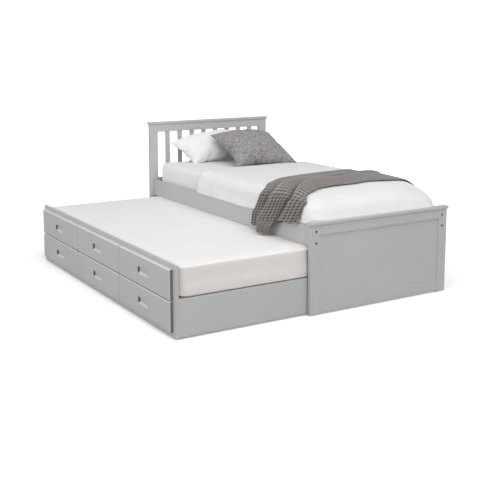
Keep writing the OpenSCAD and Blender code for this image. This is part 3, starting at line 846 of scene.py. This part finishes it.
def make_cushion(material):
    width, height = 490.0, 460.0
    shaped, faces, flat = stuffed("cushion", width, height, thickness=165, cell=9.5, seed=8)
    corners = [(328, 1300, 630), (805, 1262, 630), (352, 1712, 806), (862, 1712, 786)]
    points = lay_between(shaped, width, height, corners, bow=12, lift=22)
    # flattened where it rests on the duvet
    duvet_top = bed_box("duvet")[1][2]
    z = points[:, 2]
    z[:] = np.maximum(z, duvet_top + 6 + 0.1 * (z - duvet_top))
    piece = new_piece("marl_cushion", points, faces, flat)
    subdivide(piece)
    finish_piece(piece, material, "bed_frame")
    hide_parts("cushion")


# ---------------------------------------------------------------- throw

# Where the throw's edges and folds lie on the bed, as y against x: its head edge, the folds that
# part its three bands, and its foot edge. Each line runs on down the sides at its own slant.
TOP_X = [27, 34, 60, 100, 250, 450, 650, 850, 950]
TOP_LINES = {"head": [552, 540, 545, 578, 680, 742, 770, 797, 776],
             "fold_1": [427, 412, 415, 438, 517, 520, 520, 555, 540],
             "fold_2": [224, 200, 222, 262, 400, 490, 500, 510, 480],
             "foot": [124, 114, 140, 172, 268, 299, 314, 270, 235]}
LEFT_SLANT = {"head": 0.38, "fold_1": 0.62, "fold_2": 0.50, "foot": 0.15}
RIGHT_SLANT = {"head": 0.0, "fold_1": 0.0, "fold_2": -0.5, "foot": -1.4}
# Where the folds lie in the throw's width, as shares of it counted from its head edge
FOLD_SHARES = (0.24, 0.55)
# How far the left hem hangs below the shoulder, against the share of the throw's width
HEM_SHARES = [0.0, 0.06, 0.22, 0.275, 0.305, 0.42, 0.47, 0.54, 0.575, 0.70, 0.85, 1.0]
HEM_DROPS = [172, 180, 168, 158, 189, 186, 118, 108, 87, 86, 98, 76]

THROW_WIDTH = 480.0
DROP_LEFT, DROP_RIGHT = 190.0, 90.0
# The throw is drawn on an arch over the bed: a flat top with round shoulders and upright sides
ARCH_REACH, ARCH_RADIUS, ARCH_TOP = 463.0, 65.0, 640.0
FLAT_REACH = ARCH_REACH - ARCH_RADIUS
HALF_ARCH = FLAT_REACH + ARCH_RADIUS * math.pi / 2
THROW_LENGTH = 2 * HALF_ARCH + DROP_LEFT + DROP_RIGHT


def throw_grid(step):
    """The throw's grid. span runs over the bed from the left hem to the right one, 0 at the
    bed's middle, and share from 0 at the head edge to 1 at the foot edge. drop is how far a point
    hangs below its shoulder, turn how far the arch has turned down there, and across its x."""
    columns, lines = int(THROW_LENGTH / step), int(THROW_WIDTH / step)
    span = np.linspace(-HALF_ARCH - DROP_LEFT, HALF_ARCH + DROP_RIGHT, columns + 1)
    span, share = np.meshgrid(span, np.linspace(0, 1, lines + 1), indexing="ij")
    left_hem = np.interp(share, HEM_SHARES, HEM_DROPS) + 2.5 * np.sin(share * 112)
    drop = np.where(span < -HALF_ARCH, (-HALF_ARCH - span) / DROP_LEFT * left_hem,
                    np.where(span > HALF_ARCH, span - HALF_ARCH, 0))
    turn = np.clip((np.abs(span) - FLAT_REACH) / ARCH_RADIUS, 0, math.pi / 2)
    out = np.minimum(np.abs(span), FLAT_REACH) + ARCH_RADIUS * np.sin(turn)
    return span, share, drop, turn, MIDDLE_X + np.sign(span) * out


def throw_lines(across, drop):
    """y of the head edge, the two folds and the foot edge. Close to the left hem they all hang
    down at the same slant."""
    slanted, hem_slant = 110, 0.2
    lines = []
    for key, values in TOP_LINES.items():
        left = np.minimum(drop, slanted) * LEFT_SLANT[key] + np.maximum(drop - slanted, 0) * hem_slant
        lines.append(np.interp(across, TOP_X, values)
                     + np.where(across > MIDDLE_X, drop * RIGHT_SLANT[key], left))
    return lines


def beside_folds(share, offset, width):
    """1 on a line at an offset from each fold towards the foot, fading out over width."""
    return sum(np.exp(-((share - cut - offset) / width) ** 2) for cut in FOLD_SHARES)


def throw_y(share, lines):
    head, fold_1, fold_2, foot = lines
    cut_1, cut_2 = FOLD_SHARES
    y = np.where(share < cut_1, head + (fold_1 - head) * share / cut_1,
                 np.where(share < cut_2,
                          fold_1 + (fold_2 - fold_1) * (share - cut_1) / (cut_2 - cut_1),
                          fold_2 + (foot - fold_2) * (share - cut_2) / (1 - cut_2)))
    # each fold laps over the edge of the band at its head side
    return y + 13 * beside_folds(share, 0.014, 0.016)


def bed_under_throw(duvet, across, y, drop, turn):
    """The bed under each point of the throw, met from outside along the arch's normal, and that
    normal. Below the duvet it is a plane beside the rail."""
    away, depth, beside_rail, smoothings = 60.0, 120.0, 9, 6
    low, high = bed_box("throw_blanket")
    surface = BVHTree.FromPolygons(to_row(coords(duvet)).tolist(),
                                   [tuple(f.vertices) for f in duvet.data.polygons])
    base = np.zeros(across.shape + (3,))
    normal = np.zeros(across.shape + (3,))
    for at in np.ndindex(across.shape):
        side = 1 if across[at] > MIDDLE_X else -1
        way = np.array([math.sin(turn[at]) * side, 0, math.cos(turn[at])])
        start = np.array([across[at], y[at], ARCH_TOP + away])
        if turn[at] > 0:
            centre = (MIDDLE_X + side * FLAT_REACH, y[at], ARCH_TOP - ARCH_RADIUS - drop[at])
            start = centre + way * (ARCH_RADIUS + away)
        hit = surface.ray_cast(Vector(to_row(start)), Vector(-way), depth * MM)[0]
        if hit is not None and start[2] > RAIL_TOP + 8:
            base[at] = to_bed(hit)
        else:
            base[at] = (low[0] + beside_rail if side < 0 else high[0] - beside_rail, y[at], start[2])
        normal[at] = way
    for _ in range(smoothings):
        base[1:-1, :] = (base[:-2, :] + 2 * base[1:-1, :] + base[2:, :]) / 4
        base[:, 1:-1] = (base[:, :-2] + 2 * base[:, 1:-1] + base[:, 2:]) / 4
    return base, normal


def throw_lift(share, across, drop, merged, tip):
    """How far the throw stands off the bed: each band stands up along the fold at its head side
    and falls away towards the foot, more so where it hangs."""
    cut_1, cut_2 = FOLD_SHARES
    bands = [rising(share, cut - 0.010, cut + 0.014) * (1 - 0.9 * rising(share, cut, end))
             for cut, end in ((cut_1, cut_2), (cut_2, 1.0))]
    crease = beside_folds(share, -0.022, 0.013)
    edge_roll = rising(share, 0, 0.02) * rising(1 - share, 0, 0.03)
    hang = rising(drop, 0, 110) * (across < MIDDLE_X)
    lift = 5 + 22 * bands[0] + 26 * bands[1] * (1 - 0.6 * merged) - 2 * crease + 4 * edge_roll
    lift += hang * (6 + 12 * bands[0] + 10 * bands[1] - 6 * crease)
    lift += 3.0 * hang * np.sin(share * 40 + 0.8)
    return lift + 24 * tip


def waffle(knit_x, knit_y, upright, tip):
    """The knit's ridges both ways round its square pits, from 0 to 1, and its relief in mm. The
    knit is stretched over the top of the bed and falls together down its left side."""
    pitch_top, pitch_side, pitch_across = 22.0, 16.0, 26.0
    side_start = 60 - HALF_ARCH
    rows = (np.maximum(knit_x, side_start) / pitch_top
            + np.minimum(knit_x - side_start, 0) / pitch_side)
    row = (0.5 + 0.5 * np.cos(2 * math.pi * rows)) ** 1.5
    column = (0.5 + 0.5 * np.cos(2 * math.pi * knit_y / pitch_across)) ** 1.7
    ridge = np.maximum(row * (1 - 0.15 * upright), (0.5 + 0.4 * upright) * column)
    ridge = np.clip(ridge + 0.12 * row * column, 0, 1)
    ridge = ridge * (1 - 0.75 * tip) + 0.4 * tip
    stitches = (0.5 * np.cos(2 * math.pi * knit_y / 7.3) * row
                + 0.5 * np.cos(2 * math.pi * knit_x / 6.7) * column)
    return ridge, (3.2 + 2.6 * upright) * ridge + 0.7 * stitches


def two_layers(columns, lines):
    """The faces of a grid of points, of the same grid under it, and of the rim between them."""
    count = (columns + 1) * (lines + 1)
    ids = np.arange(count).reshape(columns + 1, lines + 1)
    near, far = ids[:-1], ids[1:]
    upper = np.stack([near[:, :-1], far[:, :-1], far[:, 1:], near[:, 1:]], -1).reshape(-1, 4)
    faces = upper.tolist() + (upper[:, ::-1] + count).tolist()
    rim = ([(i, 0) for i in range(columns)] + [(columns, j) for j in range(lines)]
           + [(i, lines) for i in range(columns, 0, -1)] + [(0, j) for j in range(lines, 0, -1)])
    for here, there in zip(rim, rim[1:] + rim[:1]):
        a, b = int(ids[here]), int(ids[there])
        faces.append((b, a, a + count, b + count))
    return faces


def make_throw(duvet, material):
    shear, thickness = 0.16, 2.0
    span, share, drop, turn, across = throw_grid(step=3.0)
    lines = throw_lines(across, drop)
    y = throw_y(share, lines)
    base, normal = bed_under_throw(duvet, across, y, drop, turn)
    upright = rising(turn, 0.5, 1.3)
    # the folds grow flatter towards the right
    merged = rising(across, 380, 560)
    # the lowest corner of the middle band is turned back and stands away from the rail
    tip = rising(share, 0.285, 0.31) * falling(share, 0.43, 0.47) * rising(drop, 112, 150)
    tip = tip * (across < MIDDLE_X)
    lift = throw_lift(share, across, drop, merged, tip)[..., None]
    # the knit's own flat coordinates, and its height along them
    head, foot = lines[0], lines[-1]
    knit_x = np.where(span < -HALF_ARCH, -HALF_ARCH - drop, span) + shear * (y - foot)
    knit_y = head - y
    ridge, relief = waffle(knit_x, knit_y, upright, tip)
    points = base + normal * (lift + relief[..., None])
    under = base + normal * (lift - thickness)
    flat = np.stack([knit_x, knit_y, np.zeros_like(knit_x)], -1)
    # painted shade on the knit along each fold's head side and down the side of the bed, and a painted
    # highlight just on each fold's foot side
    painted_fold_shade, painted_fold_highlight = beside_folds(share, -0.040, 0.042), beside_folds(share, 0.022, 0.022)
    painted_knit_shade = (painted_fold_shade - 0.4 * painted_fold_highlight) * (1 - 0.4 * merged) + 0.12 * upright
    piece = new_piece("knitted_throw", np.concatenate([points.reshape(-1, 3), under.reshape(-1, 3)]),
                      two_layers(span.shape[0] - 1, span.shape[1] - 1),
                      np.concatenate([flat.reshape(-1, 3)] * 2))
    store(piece.data, RIDGE, np.concatenate([(ridge - painted_knit_shade).ravel(), np.full(ridge.size, 0.5)]))
    finish_piece(piece, material, "bed_frame")
    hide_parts("throw_blanket")


# ---------------------------------------------------------------- build

bpy.context.scene.view_settings.view_transform = "Standard"
make_camera()
make_world()
make_lights()
make_floor()
dress_frame()
sheet_cotton = cotton("fitted_sheet_cotton", (0.735, 0.73, 0.727), (0.71, 0.705, 0.702))
duvet_cotton = cotton("duvet_cotton", (0.715, 0.708, 0.712), (0.69, 0.683, 0.687))
# the guest mattress's upright sides get painted shade
guest_cotton = cotton("guest_mattress_cotton", (0.79, 0.773, 0.765), (0.77, 0.752, 0.74),
                      painted_side_shade=(0.665, 0.640, 0.622))
make_mattress("made_up_mattress", "mattress", "bed_frame", cell=20, corner=62, edge=26, crown=4,
              seed=1, material=sheet_cotton, sunk=30.0)
make_mattress("guest_mattress_covered", "guest_mattress", "trundle", cell=18, corner=34, edge=9,
              crown=5.5, seed=2, material=guest_cotton, lifted=15.0)
duvet = make_duvet(duvet_cotton)
make_pillow(duvet_cotton)
make_cushion(marl())
make_throw(duvet, knit())
